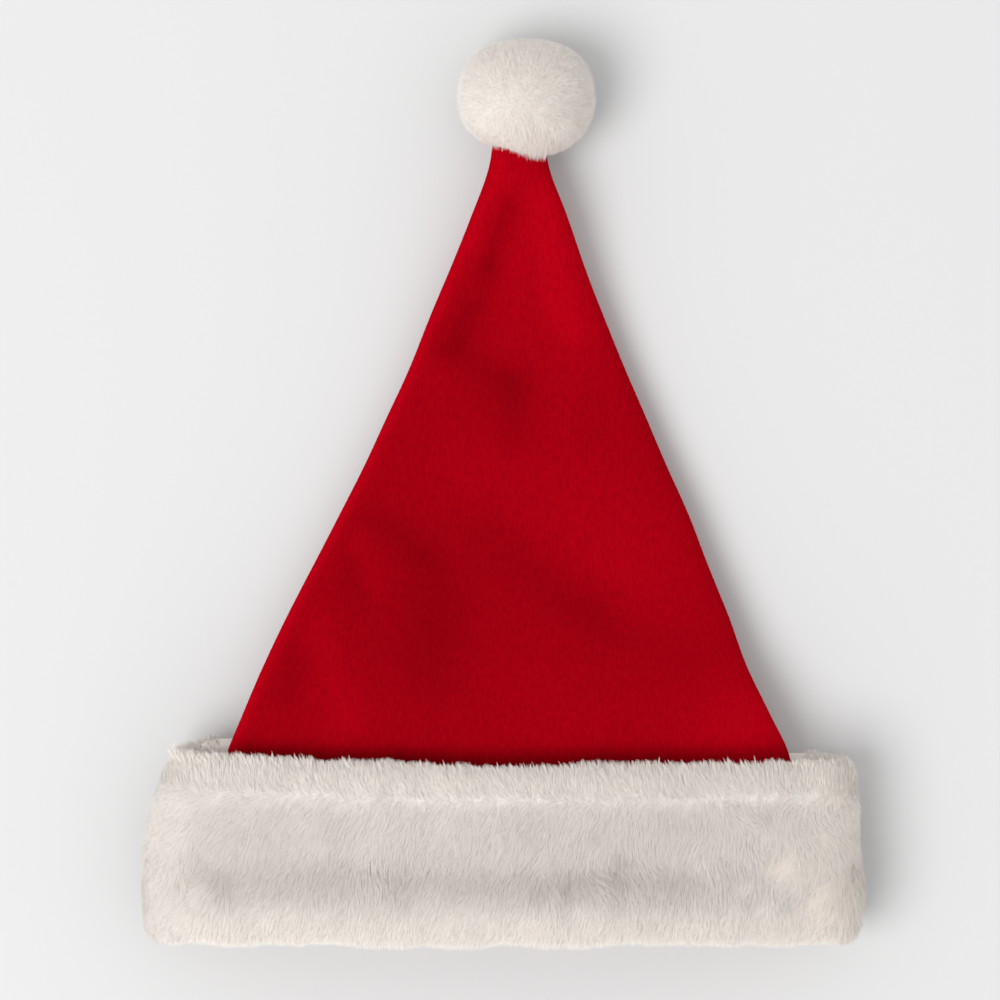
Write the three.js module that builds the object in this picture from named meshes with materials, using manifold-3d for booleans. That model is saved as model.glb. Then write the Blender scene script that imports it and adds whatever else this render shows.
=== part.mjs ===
// A plush santa hat lying on its back: a red cloth cone, a turned-up white fur cuff and a fur pompom.
// Millimetres. +X runs across the hat, +Y from the rim to the tip, and +Z up off the surface it lies on.
import * as THREE from "three";
import { mergeVertices } from "three/addons/utils/BufferGeometryUtils.js";
import Module from "manifold-3d";

const wasm = await Module();
wasm.setup();

// Sizes of the fur cuff, a doubled band turned up round the rim.
const rimWidth = 340; // across the cuff at the rim, fur included
const cuffHeight = 88; // rim to turned edge at the middle of the front, fur included
const cuffPad = 15; // the doubled band, without the locks that stand out of it
const leftTaper = 12; // how far the left end leans in at the turned edge
const rightTaper = 2; // the same for the right end
const leftRise = 3; // extra height of the cuff at the left end
const backRise = 3.5; // extra height of the cuff behind
const backLeftRise = 3; // and more where those two meet
const pressedFlat = 1.5; // how much of the cuff's round underside is pressed flat

// Sizes of the crown, a cone of plush cloth sewn inside the rim.
const clothWall = 2.2;
const hollowDepth = 30; // the open mouth between front and back cloth
const crownLength = 379; // sewn edge to closed tip
const sewnEdge = 6; // sewn edge above the rim's lowest fur
const tipWidth = 23.5;
const tipDepth = 14;
const tipRound = 8; // length of the rounded end
const tipLean = 7.5; // how far the tip lies to the right of the rim's middle
const floorClear = 0.8; // under the back cloth where it lies on the surface

// Sizes of the pompom, a stuffed ball of the same fur.
const pompomWidth = 66;
const pompomLength = 57;
const pompomDepth = 58;
const pompomCover = 14; // how far the crown's tip reaches into the ball
const pompomShift = 3.5; // the ball's middle to the right of the tip
const pompomPressed = 2; // pressed flat underneath

// Fur locks, and the clearance between pieces that are sewn together.
const pile = 2; // how far a lock's tip stands out of its backing
const cuffLockLength = 21;
const cuffLockWidth = 23;
const cuffLockThick = 9;
const cuffLocksRound = 31; // locks in each row
const pompomLockLength = 14;
const pompomLockWidth = 14;
const pompomLockThick = 8;
const pompomLocks = 70;
const seamGap = 0.3;

// Shapes: two layers of cloth laid flat meet in a lens, where 1 is an ellipse and more has sharper side folds,
// and for the ball a power of 2 is an ellipsoid and more is boxier.
const sideFold = 1.2;
const ballPower = 2.25;
const pointsRound = 40;
const crownSteps = 19;

// Derived sizes.
const rimDepth = hollowDepth + 2 * clothWall;
const cuffInnerHalf = rimWidth / 2 - pile - cuffPad;
const cuffInnerDepth = rimDepth / 2 + seamGap;
const rimMiddle = cuffInnerDepth + cuffPad - pressedFlat;
const crownHalf = cuffInnerHalf - seamGap;
const pompomMiddle = pompomDepth / 2 - pompomPressed;
const tipEnd = sewnEdge + crownLength;
const pompomAt = new THREE.Vector3(tipLean + pompomShift, tipEnd - pompomCover + pompomLength / 2, pompomMiddle);
const hatLength = pompomAt.y + pompomLength / 2;

// The crown's sections. along is a share of its length, spread is its half width between tip (0) and rim (1),
// lean follows the tip's, fullness its depth between tip (0) and rim (1), rimLift and tipLift how far it
// still rides at the height of the rim or of the pompom instead of lying on the surface.
const crownSections = [
  { along: 0.0, spread: 1.0, lean: 0.0, fullness: 1.0, rimLift: 1.0, tipLift: 0.0 },
  { along: 0.22, spread: 0.856, lean: 0.3, fullness: 1.0, rimLift: 1.0, tipLift: 0.0 },
  { along: 0.27, spread: 0.798, lean: 0.22, fullness: 1.03, rimLift: 0.86, tipLift: 0.0 },
  { along: 0.33, spread: 0.726, lean: 0.13, fullness: 1.12, rimLift: 0.42, tipLift: 0.0 },
  { along: 0.39, spread: 0.66, lean: 0.3, fullness: 1.14, rimLift: 0.12, tipLift: 0.0 },
  { along: 0.46, spread: 0.574, lean: 0.5, fullness: 1.04, rimLift: 0.02, tipLift: 0.0 },
  { along: 0.52, spread: 0.502, lean: 0.7, fullness: 0.93, rimLift: 0.0, tipLift: 0.0 },
  { along: 0.58, spread: 0.425, lean: 0.79, fullness: 0.86, rimLift: 0.0, tipLift: 0.0 },
  { along: 0.64, spread: 0.353, lean: 0.84, fullness: 0.78, rimLift: 0.0, tipLift: 0.02 },
  { along: 0.7, spread: 0.281, lean: 0.88, fullness: 0.68, rimLift: 0.0, tipLift: 0.07 },
  { along: 0.77, spread: 0.205, lean: 0.88, fullness: 0.54, rimLift: 0.0, tipLift: 0.22 },
  { along: 0.83, spread: 0.139, lean: 0.93, fullness: 0.36, rimLift: 0.0, tipLift: 0.45 },
  { along: 0.89, spread: 0.077, lean: 1.0, fullness: 0.17, rimLift: 0.0, tipLift: 0.74 },
  { along: 0.95, spread: 0.018, lean: 1.0, fullness: 0.03, rimLift: 0.0, tipLift: 0.95 },
  { along: 1.0, spread: 0.0, lean: 1.0, fullness: 0.0, rimLift: 0.0, tipLift: 1.0 },
];

// Dents in the front cloth. across is a share of the half width there, along a share of the crown's length,
// deep a share of the rim's depth, long and wide shares of its width, turn in degrees from across to along.
const crownDents = [
  { across: -0.1, along: 0.84, deep: 0.1, long: 0.11, wide: 0.04, turn: 71 },
  { across: 0.05, along: 0.67, deep: 0.06, long: 0.1, wide: 0.05, turn: -48 },
  { across: -0.45, along: 0.5, deep: 0.1, long: 0.12, wide: 0.055, turn: -62 },
  { across: 0.18, along: 0.44, deep: 0.09, long: 0.2, wide: 0.07, turn: -33 },
  { across: -0.62, along: 0.33, deep: 0.09, long: 0.09, wide: 0.035, turn: 66 },
  { across: -0.25, along: 0.3, deep: -0.05, long: 0.12, wide: 0.06, turn: -60 },
  { across: 0.45, along: 0.34, deep: -0.04, long: 0.14, wide: 0.09, turn: -20 },
];

// The cuff's closed profile. up is a share of its height, out runs from its inner face (0) to its outer face (1).
const cuffProfile = [
  { up: 0.0, out: 0.5 },
  { up: 0.035, out: 0.82 },
  { up: 0.12, out: 0.99 },
  { up: 0.24, out: 1.0 },
  { up: 0.37, out: 0.84 },
  { up: 0.5, out: 0.9 },
  { up: 0.66, out: 1.0 },
  { up: 0.8, out: 1.02 },
  { up: 0.92, out: 0.93 },
  { up: 0.98, out: 0.74 },
  { up: 1.0, out: 0.5 },
  { up: 0.98, out: 0.24 },
  { up: 0.9, out: 0.04 },
  { up: 0.5, out: 0.0 },
  { up: 0.1, out: 0.0 },
  { up: 0.03, out: 0.18 },
];

// Rows of locks on the cuff. nap is 1 where the fur points to the turned edge, -1 to the rim; raise is in degrees.
// The fur parts at the crease below the turned edge.
const cuffLockRows = [
  { up: 0.23, out: 1.0, nap: -1, raise: 6 },
  { up: 0.44, out: 0.87, nap: -1, raise: 19 },
  { up: 0.64, out: 0.98, nap: -1, raise: 13 },
  { up: 0.85, out: 1.0, nap: -1, raise: 14 },
  { up: 0.78, out: 1.02, nap: 1, raise: 5 },
];
const napLean = 0.35; // the fur also leans to the left, by this share of its length

// A column of a table at a place along its key column, on a smooth curve through the rows.
function lookUp(rows, key, column, at) {
  const last = rows.length - 1;
  const i = Math.min(Math.max(rows.findIndex((row) => row[key] > at) - 1, 0), last - 1);
  const from = rows[at >= rows[last][key] ? last - 1 : i];
  const to = rows[rows.indexOf(from) + 1];
  const slope = (n) => {
    const a = rows[Math.max(n - 1, 0)];
    const b = rows[Math.min(n + 1, last)];
    return (b[column] - a[column]) / (b[key] - a[key]);
  };
  const span = to[key] - from[key];
  const t = Math.min(Math.max((at - from[key]) / span, 0), 1);
  const start = slope(rows.indexOf(from)) * span;
  const end = slope(rows.indexOf(to)) * span;
  return (
    from[column] * (1 + 2 * t) * (1 - t) ** 2 +
    start * t * (1 - t) ** 2 +
    to[column] * t * t * (3 - 2 * t) -
    end * t * t * (1 - t)
  );
}

// A point of a lens-shaped loop of half size 1, at an angle from +X towards +Z.
function loopPoint(angle) {
  const rise = Math.sin(angle);
  return { x: Math.cos(angle), z: Math.sign(rise) * Math.abs(rise) ** sideFold };
}

// A number from -0.5 to 0.5 that depends on two counts and stays the same from run to run.
function jitter(a, b) {
  const n = Math.sin(a * 12.9898 + b * 78.233 + 4.1) * 43758.5453;
  return n - Math.floor(n) - 0.5;
}

// Booleans work on closed meshes whose shared vertices are merged.
function solidOf(geometry) {
  const bare = geometry.index ? geometry.toNonIndexed() : geometry.clone();
  bare.deleteAttribute("normal");
  bare.deleteAttribute("uv");
  const merged = mergeVertices(bare, 1e-3);
  const mesh = new wasm.Mesh({
    numProp: 3,
    vertProperties: merged.attributes.position.array,
    triVerts: new Uint32Array(merged.index.array),
  });
  return new wasm.Manifold(mesh);
}

function geometryOf(solid) {
  const mesh = solid.getMesh();
  const geometry = new THREE.BufferGeometry();
  geometry.setAttribute("position", new THREE.BufferAttribute(new Float32Array(mesh.vertProperties), 3));
  geometry.setIndex(new THREE.BufferAttribute(new Uint32Array(mesh.triVerts), 1));
  geometry.computeVertexNormals();
  return geometry;
}

// The largest of the bodies that a cut leaves.
function largestBody(solid) {
  return solid.decompose().reduce((a, b) => (b.volume() > a.volume() ? b : a));
}

function meshOf(points, faces) {
  const geometry = new THREE.BufferGeometry().setFromPoints(points);
  geometry.setIndex(faces);
  return geometry;
}

// A closed body through rings of points, each ring running from +X towards +Z, with a fan at each end.
function loft(rings) {
  const count = rings[0].length;
  const points = rings.flat();
  const faces = [];
  for (let r = 0; r + 1 < rings.length; r++) {
    for (let i = 0; i < count; i++) {
      const a = r * count + i;
      const b = r * count + ((i + 1) % count);
      faces.push(a, a + count, b, b, a + count, b + count);
    }
  }
  const middle = (ring) => ring.reduce((sum, p) => sum.add(p), new THREE.Vector3()).divideScalar(count);
  const first = points.push(middle(rings[0])) - 1;
  const last = points.push(middle(rings[rings.length - 1])) - 1;
  const top = (rings.length - 1) * count;
  for (let i = 0; i < count; i++) {
    const next = (i + 1) % count;
    faces.push(first, i, next, last, top + next, top + i);
  }
  return meshOf(points, faces);
}

// How much the dents push the front cloth in at a place on the crown.
function dentAt(x, y, half) {
  return crownDents.reduce((sum, dent) => {
    const turn = THREE.MathUtils.degToRad(dent.turn);
    const dx = x - dent.across * half;
    const dy = y - sewnEdge - dent.along * crownLength;
    const p = (dx * Math.cos(turn) + dy * Math.sin(turn)) / (dent.long * rimWidth);
    const q = (dy * Math.cos(turn) - dx * Math.sin(turn)) / (dent.wide * rimWidth);
    return sum + dent.deep * rimDepth * Math.exp(-p * p - q * q);
  }, 0);
}

// One ring of the crown at a distance from the sewn edge, moved in from the outer face by inset.
function crownRing(distance, inset) {
  const along = distance / crownLength;
  const column = (name) => lookUp(crownSections, "along", name, along);
  const half = tipWidth / 2 + (crownHalf - tipWidth / 2) * column("spread");
  const halfDepth = (tipDepth + (rimDepth - tipDepth) * column("fullness")) / 2;
  const rimBottom = rimMiddle - rimDepth / 2;
  const tipBottom = pompomMiddle - tipDepth / 2;
  const lifted = (rimBottom - floorClear) * column("rimLift") + (tipBottom - floorClear) * column("tipLift");
  const middle = floorClear + lifted + halfDepth;
  const intoRound = (distance - (crownLength - inset - tipRound)) / tipRound;
  const closing = Math.sqrt(1 - Math.min(Math.max(intoRound, 0), 0.96) ** 2);
  const ring = [];
  for (let i = 0; i < pointsRound; i++) {
    const unit = loopPoint((i / pointsRound) * 2 * Math.PI);
    const x = unit.x * (half - inset) * closing;
    const y = sewnEdge + distance;
    const dent = unit.z > 0 ? dentAt(x, y, half) * unit.z : 0;
    const z = middle + unit.z * (halfDepth - inset) * closing - dent;
    ring.push(new THREE.Vector3(tipLean * column("lean") + x, y, z));
  }
  return ring;
}

// A closed body of the crown's form from one distance to its tip, moved in by inset.
function crownBody(from, inset) {
  const straight = crownLength - inset - tipRound;
  const rings = [];
  for (let i = 0; i <= crownSteps; i++) {
    rings.push(crownRing(from + ((straight - from) * i) / crownSteps, inset));
  }
  for (const share of [0.5, 0.8, 0.96]) {
    rings.push(crownRing(straight + tipRound * share, inset));
  }
  return solidOf(loft(rings));
}

function buildCrown() {
  const pastEdge = 1;
  return crownBody(0, 0).subtract(crownBody(-pastEdge, clothWall));
}

// A point of the cuff's band: at an angle round the rim, a share up its height and a share out through its pad.
function cuffPoint(angle, up, out) {
  const unit = loopPoint(angle);
  const leftward = (1 - Math.cos(angle)) / 2;
  const backward = (1 - Math.sin(angle)) / 2;
  const extra = leftRise * leftward + (backRise + backLeftRise * leftward) * backward;
  const height = cuffHeight - 2 * pile + extra;
  const leaning = THREE.MathUtils.smoothstep(up, 0.5, 1.1);
  const taper = unit.x < 0 ? leftTaper * leaning : rightTaper * up;
  const half = cuffInnerHalf - taper;
  const inner = new THREE.Vector3(unit.x * half, pile + up * height, rimMiddle + unit.z * cuffInnerDepth);
  const steep = sideFold * Math.max(Math.abs(Math.sin(angle)), 1e-3) ** (sideFold - 1) * cuffInnerDepth;
  const outward = new THREE.Vector3(Math.cos(angle) * steep, 0, Math.sin(angle) * half).normalize();
  return inner.addScaledVector(outward, out * cuffPad);
}

// Angles that stand evenly along the cuff's outer face.
function evenAngles(count) {
  const fine = 720;
  const lengths = [0];
  for (let i = 1; i <= fine; i++) {
    const a = cuffPoint(((i - 1) / fine) * 2 * Math.PI, 0.5, 1);
    const b = cuffPoint((i / fine) * 2 * Math.PI, 0.5, 1);
    lengths.push(lengths[i - 1] + a.distanceTo(b));
  }
  return Array.from({ length: count }, (_, n) => {
    const wanted = (n / count) * lengths[fine];
    const i = lengths.findIndex((length) => length > wanted);
    const part = (wanted - lengths[i - 1]) / (lengths[i] - lengths[i - 1]);
    return ((i - 1 + part) / fine) * 2 * Math.PI;
  });
}

// One lock: a flat three-sided spike whose root sinks into the backing and whose tip stands out along the fur.
function lockAt(root, outward, nap, raise, size) {
  const lift = THREE.MathUtils.degToRad(raise);
  const grow = nap.clone().multiplyScalar(Math.cos(lift)).addScaledVector(outward, Math.sin(lift)).normalize();
  const side = new THREE.Vector3().crossVectors(grow, outward).normalize();
  const thick = new THREE.Vector3().crossVectors(side, grow).normalize();
  const spike = new THREE.ConeGeometry(0.5, 1, 3).translate(0, 0.5, 0);
  spike.scale(size.width, size.length, size.thick);
  spike.applyMatrix4(new THREE.Matrix4().makeBasis(side, grow, thick));
  spike.translate(...root.clone().addScaledVector(outward, -size.sunk));
  return solidOf(spike);
}

// Everything above the surface that the hat lies on.
function trimAtFloor(solid) {
  const reach = 2 * (hatLength + rimWidth);
  const below = new THREE.BoxGeometry(reach, reach, reach).translate(0, 0, -reach / 2);
  return solid.subtract(solidOf(below));
}

function buildCuff() {
  const points = [];
  const faces = [];
  const across = cuffProfile.length;
  for (let i = 0; i < pointsRound; i++) {
    const angle = (i / pointsRound) * 2 * Math.PI;
    points.push(...cuffProfile.map((row) => cuffPoint(angle, row.up, row.out)));
    for (let j = 0; j < across; j++) {
      const a = i * across + j;
      const b = i * across + ((j + 1) % across);
      const c = ((i + 1) % pointsRound) * across + j;
      const d = ((i + 1) % pointsRound) * across + ((j + 1) % across);
      faces.push(a, b, c, b, d, c);
    }
  }
  const locks = cuffLockRows.flatMap((row, r) =>
    evenAngles(cuffLocksRound).map((even, n) => {
      const step = (2 * Math.PI) / cuffLocksRound;
      const angle = even + (r % 2) * step * 0.5 + jitter(n, r) * step * 0.3;
      const root = cuffPoint(angle, row.up + jitter(r, n) * 0.03, row.out);
      const ahead = cuffPoint(angle + 0.02, row.up, row.out).sub(cuffPoint(angle - 0.02, row.up, row.out));
      const outward = new THREE.Vector3(ahead.z, 0, -ahead.x).normalize();
      const nap = new THREE.Vector3(0, row.nap, 0).addScaledVector(ahead.normalize(), napLean * Math.sign(outward.z));
      const size = { width: cuffLockWidth, length: cuffLockLength, thick: cuffLockThick, sunk: cuffLockThick * 0.35 };
      size.length *= 1 + jitter(n + 7, r) * 0.25;
      return lockAt(root, outward, nap.normalize(), row.raise, size);
    }),
  );
  return trimAtFloor(wasm.Manifold.union([solidOf(meshOf(points, faces)), ...locks]));
}

function buildPompom() {
  const half = new THREE.Vector3(pompomWidth, pompomLength, pompomDepth).divideScalar(2).subScalar(pile);
  const ball = new THREE.IcosahedronGeometry(1, 3);
  const onBall = (p) => {
    const size = Math.abs(p.x) ** ballPower + Math.abs(p.y) ** ballPower + Math.abs(p.z) ** ballPower;
    return p.divideScalar(size ** (1 / ballPower)).multiply(half).add(pompomAt);
  };
  const position = ball.attributes.position;
  for (let i = 0; i < position.count; i++) {
    position.setXYZ(i, ...onBall(new THREE.Vector3().fromBufferAttribute(position, i)));
  }
  const golden = Math.PI * (3 - Math.sqrt(5));
  const locks = Array.from({ length: pompomLocks }, (_, n) => {
    const y = 1 - (2 * (n + 0.5)) / pompomLocks;
    const ring = Math.sqrt(1 - y * y);
    const outward = new THREE.Vector3(ring * Math.cos(golden * n), y, ring * Math.sin(golden * n));
    const down = new THREE.Vector3(0, -1, 0).addScaledVector(outward, y);
    const nap = down.lengthSq() > 0.01 ? down.normalize() : new THREE.Vector3(1, 0, 0);
    const size = { width: pompomLockWidth, length: pompomLockLength, thick: pompomLockThick };
    size.sunk = pompomLockThick * 0.45;
    return lockAt(onBall(outward.clone()), outward, nap, 15 + jitter(n, 3) * 8, size);
  });
  const furred = wasm.Manifold.union([solidOf(ball), ...locks]);
  return largestBody(trimAtFloor(furred).subtract(crownBody(0, -seamGap)));
}

function pieceOf(name, solid, colour) {
  const material = new THREE.MeshStandardMaterial({ color: colour, roughness: 0.95, metalness: 0 });
  const piece = new THREE.Mesh(geometryOf(solid), material);
  piece.name = name;
  return piece;
}

const furWhite = 0xe6dfd4;
const plushRed = 0xa6021a;

const hat = new THREE.Group();
hat.add(pieceOf("crown", buildCrown(), plushRed));
hat.add(pieceOf("fur_cuff", buildCuff(), furWhite));
hat.add(pieceOf("pompom", buildPompom(), furWhite));

// The hat's origin is under the middle of its outline.
const outline = new THREE.Box3().setFromObject(hat, true);
const middle = outline.getCenter(new THREE.Vector3());
hat.position.set(-middle.x, -middle.y, -outline.min.z);

export default hat;
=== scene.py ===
"""A plush santa hat lying on its back. Its crown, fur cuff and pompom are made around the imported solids.

Shapes are worked out in millimetres from the middle of the rim: +X across, +Y from rim to tip, +Z up.
"""

import math
from types import SimpleNamespace

import bpy
import numpy as np
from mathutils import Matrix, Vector


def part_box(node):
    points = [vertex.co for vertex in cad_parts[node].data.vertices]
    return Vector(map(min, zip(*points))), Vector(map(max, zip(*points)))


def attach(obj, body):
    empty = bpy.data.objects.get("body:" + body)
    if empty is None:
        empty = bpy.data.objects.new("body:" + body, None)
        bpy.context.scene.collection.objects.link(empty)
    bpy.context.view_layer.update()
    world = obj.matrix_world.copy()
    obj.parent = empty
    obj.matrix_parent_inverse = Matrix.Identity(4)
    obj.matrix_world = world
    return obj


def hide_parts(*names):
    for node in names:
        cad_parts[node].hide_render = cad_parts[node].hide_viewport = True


MM = 0.001

# Named sizes, the same ones as the solids have.
RIM_WIDTH, CUFF_HEIGHT, CUFF_PAD = 340.0, 88.0, 15.0
LEFT_TAPER, RIGHT_TAPER = 12.0, 2.0
LEFT_RISE, BACK_RISE, BACK_LEFT_RISE = 3.0, 3.5, 3.0
PRESSED_FLAT = 1.5
CLOTH_WALL, HOLLOW_DEPTH, CROWN_LENGTH, SEWN_EDGE = 2.2, 30.0, 379.0, 6.0
TIP_WIDTH, TIP_DEPTH, TIP_ROUND, TIP_LEAN, FLOOR_CLEAR = 23.5, 14.0, 8.0, 7.5, 0.8
POMPOM_SIZE = np.array([66.0, 57.0, 58.0])
POMPOM_COVER, POMPOM_SHIFT, POMPOM_PRESSED = 14.0, 3.5, 2.0
PILE, SEAM_GAP = 2.0, 0.3
SIDE_FOLD, BALL_POWER = 1.2, 2.25

RIM_DEPTH = HOLLOW_DEPTH + 2 * CLOTH_WALL
CUFF_INNER_HALF = RIM_WIDTH / 2 - PILE - CUFF_PAD
CUFF_INNER_DEPTH = RIM_DEPTH / 2 + SEAM_GAP
RIM_MIDDLE = CUFF_INNER_DEPTH + CUFF_PAD - PRESSED_FLAT
CROWN_HALF = CUFF_INNER_HALF - SEAM_GAP
POMPOM_MIDDLE = POMPOM_SIZE[2] / 2 - POMPOM_PRESSED
POMPOM_AT = np.array(
    [
        TIP_LEAN + POMPOM_SHIFT,
        SEWN_EDGE + CROWN_LENGTH - POMPOM_COVER + POMPOM_SIZE[1] / 2,
        POMPOM_MIDDLE,
    ]
)

# The crown's sections: share of its length, then its spread, lean, fullness, and how far it rides at the
# rim's and at the pompom's height.
CROWN_SECTIONS = np.array(
    [
        (0.0, 1.0, 0.0, 1.0, 1.0, 0.0),
        (0.22, 0.856, 0.3, 1.0, 1.0, 0.0),
        (0.27, 0.798, 0.22, 1.03, 0.86, 0.0),
        (0.33, 0.726, 0.13, 1.12, 0.42, 0.0),
        (0.39, 0.66, 0.3, 1.14, 0.12, 0.0),
        (0.46, 0.574, 0.5, 1.04, 0.02, 0.0),
        (0.52, 0.502, 0.7, 0.93, 0.0, 0.0),
        (0.58, 0.425, 0.79, 0.86, 0.0, 0.0),
        (0.64, 0.353, 0.84, 0.78, 0.0, 0.02),
        (0.7, 0.281, 0.88, 0.68, 0.0, 0.07),
        (0.77, 0.205, 0.88, 0.54, 0.0, 0.22),
        (0.83, 0.139, 0.93, 0.36, 0.0, 0.45),
        (0.89, 0.077, 1.0, 0.17, 0.0, 0.74),
        (0.95, 0.018, 1.0, 0.03, 0.0, 0.95),
        (1.0, 0.0, 1.0, 0.0, 0.0, 1.0),
    ]
)

# Dents in the front cloth: where across and along, how deep, long and wide (shares of the rim), and how
# far they are turned.
CROWN_DENTS = np.array(
    [
        (-0.1, 0.84, 0.1, 0.11, 0.04, 71),
        (0.05, 0.67, 0.06, 0.1, 0.05, -48),
        (-0.45, 0.5, 0.1, 0.12, 0.055, -62),
        (0.18, 0.44, 0.09, 0.2, 0.07, -33),
        (-0.62, 0.33, 0.09, 0.09, 0.035, 66),
        (-0.25, 0.3, -0.05, 0.12, 0.06, -60),
        (0.45, 0.34, -0.04, 0.14, 0.09, -20),
    ]
)

# The cuff's closed profile: share of its height, and share of its pad from the inner to the outer face.
CUFF_PROFILE = np.array(
    [
        (0.0, 0.5),
        (0.035, 0.82),
        (0.12, 0.99),
        (0.28, 1.0),
        (0.43, 0.84),
        (0.54, 0.9),
        (0.68, 1.0),
        (0.8, 1.02),
        (0.92, 0.93),
        (0.98, 0.74),
        (1.0, 0.5),
        (0.98, 0.24),
        (0.9, 0.04),
        (0.5, 0.0),
        (0.1, 0.0),
        (0.03, 0.18),
    ]
)
GROOVE_AT = 0.44  # share of the cuff's height at the groove's deepest line
PARTING = 0.815  # share of the cuff's height at which its fur parts
NAP_LEAN = 0.35  # the fur's lean to the left, as a share of its run up or down

# Small tufts where the fur lies another way: along the rim and up from it, how wide, and how far it is
# turned.
TUFTS = np.array(
    [
        (-149, 34, 5, 40),
        (-139, 31, 5, -50),
        (22, 31, 6, 60),
        (43, 34, 8, 80),
        (66, 40, 9, 75),
        (130, 40, 9, -45),
        (112, 62, 9, 60),
        (146, 55, 8, 70),
        (150, 24, 9, -50),
        (-60, 36, 8, 35),
        (98, 34, 8, 40),
    ]
)

# Small pits beside the tufts and a bulge at the right: along the rim and up from it, how wide, and how high.
PITS = np.array(
    [
        (-134, 31, 6, -0.9),
        (17, 30, 4, -1.2),
        (34, 32, 5, -1.5),
        (56, 43, 5, -1.4),
        (134, 47, 13, 1.2),
    ]
)

# Soft creases in the front cloth: both ends across and along the hat, how wide, and how far the cloth there
# faces the light (more than 0) or turns away from it, which also sets the light and shade painted along the
# crease.
CREASES = np.array(
    [
        (1.9, 347, -7, 322, 7, -1.25),
        (-8.5, 316, -23.5, 281, 9, -1.05),
        (-23.5, 281, 4.7, 264, 9, -0.5),
        (4.7, 264, 4.7, 238, 9, -0.55),
        (13, 322, 13, 296, 5, -0.35),
        (20, 350, 32, 291, 10, 1.0),
        (42, 252, 40, 238, 10, -0.3),
        (-60, 201, -38, 184, 9, -0.65),
        (-31, 172, -33, 131, 16, -0.5),
        (-8, 194, 42, 157, 14, -0.55),
        (42, 157, 86, 136, 17, -0.45),
        (-70, 177, -72, 168, 9, -0.6),
        (-98, 133, -101, 118, 7, -0.7),
        (-87, 150, -73, 106, 9, 0.65),
        (-67, 188, -60, 170, 6, 0.6),
        (5, 222, 62, 180, 26, 0.32),
    ]
)
CREASE_HEIGHT = 0.15  # height of a crease as a share of its width
AWAY_FROM_LIGHT = np.array([0.78, 0.62])

# Broad places of painted light and shade on the front cloth, painted brighter or duller: across and along,
# how wide, and by how much.
PAINTED_LIGHT_AND_SHADE_PATCHES = np.array(
    [
        (-75, 108, 24, 0.12),
        (20, 108, 50, 0.1),
        (118, 104, 26, 0.3),
        (60, 190, 38, 0.06),
        (-20, 226, 30, 0.06),
        (33, 308, 15, 0.26),
        (-9, 360, 9, 0.25),
        (-18, 332, 6, 0.2),
        (-29, 300, 5, 0.15),
        (-38, 150, 30, -0.1),
        (2, 262, 22, -0.14),
        (-20, 296, 15, -0.14),
        (50, 136, 38, -0.08),
    ]
)

# The locks of fur that hang from the pompom over the red: where their tips are across and along.
LOCKS = np.array(
    [
        (-3, 375.8),
        (1.4, 375.4),
        (5.2, 373.4),
        (8.6, 372.0),
        (12.4, 370.6),
        (15.4, 370),
        (18.8, 370.4),
    ]
)
LOCK_HAIRS = 150  # fibres in each of them
LOCK_ROOTS_FROM = 376.5  # where on the ball, along the hat, the first of their roots stand

# Fur sizes: how far the backing lies inside the fur's outline, more at the cuff's edges, and the fibres'
# lengths.
CUFF_BACKING, EDGE_BACKING, POMPOM_BACKING = 1.0, 2.4, 2.9
CUFF_FIBRE, POMPOM_FIBRE = 6.8, 4.6
ROOT_DEPTH = 0.3  # how far a fibre's root is sunk into the backing
BLADE_HALF = 0.012  # from the middle of a fibre's blade to each of its faces
LOWEST_BACKING, LOWEST_ROOT, LOWEST_TIP = 0.5, 0.3, 0.25

# How finely the pieces are made: points round each and along it, fibres, and the crown's steps into its
# round end.
CROWN_AROUND, CROWN_OUTER_STEPS, CROWN_INNER_STEPS = 200, 200, 40
CUFF_AROUND, CUFF_ACROSS = 360, 96
POMPOM_AROUND, POMPOM_ACROSS = 150, 76
FRONT_FIBRES, BACK_FIBRES, POMPOM_FIBRES, EDGE_TUFTS = 80000, 76000, 66000, 420
ROUND_STEPS = np.array([0.3, 0.55, 0.75, 0.9, 0.985])

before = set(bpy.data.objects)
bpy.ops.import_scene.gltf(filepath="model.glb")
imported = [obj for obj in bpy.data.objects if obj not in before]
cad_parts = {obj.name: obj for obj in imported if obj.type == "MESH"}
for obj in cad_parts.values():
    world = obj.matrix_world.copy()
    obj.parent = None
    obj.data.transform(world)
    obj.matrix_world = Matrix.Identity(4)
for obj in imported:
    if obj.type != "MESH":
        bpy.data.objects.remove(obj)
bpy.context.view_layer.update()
crown_low, crown_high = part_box("crown")
RIM_AT = np.array([(crown_low.x + crown_high.x) / 2, crown_low.y - SEWN_EDGE * MM, 0.0])


def look_up(table, column, at):
    """A column of a table along its first column, on a smooth curve through the rows."""
    keys, values = table[:, 0], table[:, column]
    slopes = np.empty(len(keys))
    slopes[1:-1] = (values[2:] - values[:-2]) / (keys[2:] - keys[:-2])
    slopes[0] = (values[1] - values[0]) / (keys[1] - keys[0])
    slopes[-1] = (values[-1] - values[-2]) / (keys[-1] - keys[-2])
    i = np.clip(np.searchsorted(keys, at, side="right") - 1, 0, len(keys) - 2)
    span = keys[i + 1] - keys[i]
    t = np.clip((at - keys[i]) / span, 0, 1)
    return (
        values[i] * (1 + 2 * t) * (1 - t) ** 2
        + slopes[i] * span * t * (1 - t) ** 2
        + values[i + 1] * t * t * (3 - 2 * t)
        - slopes[i + 1] * span * t * t * (1 - t)
    )


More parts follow.
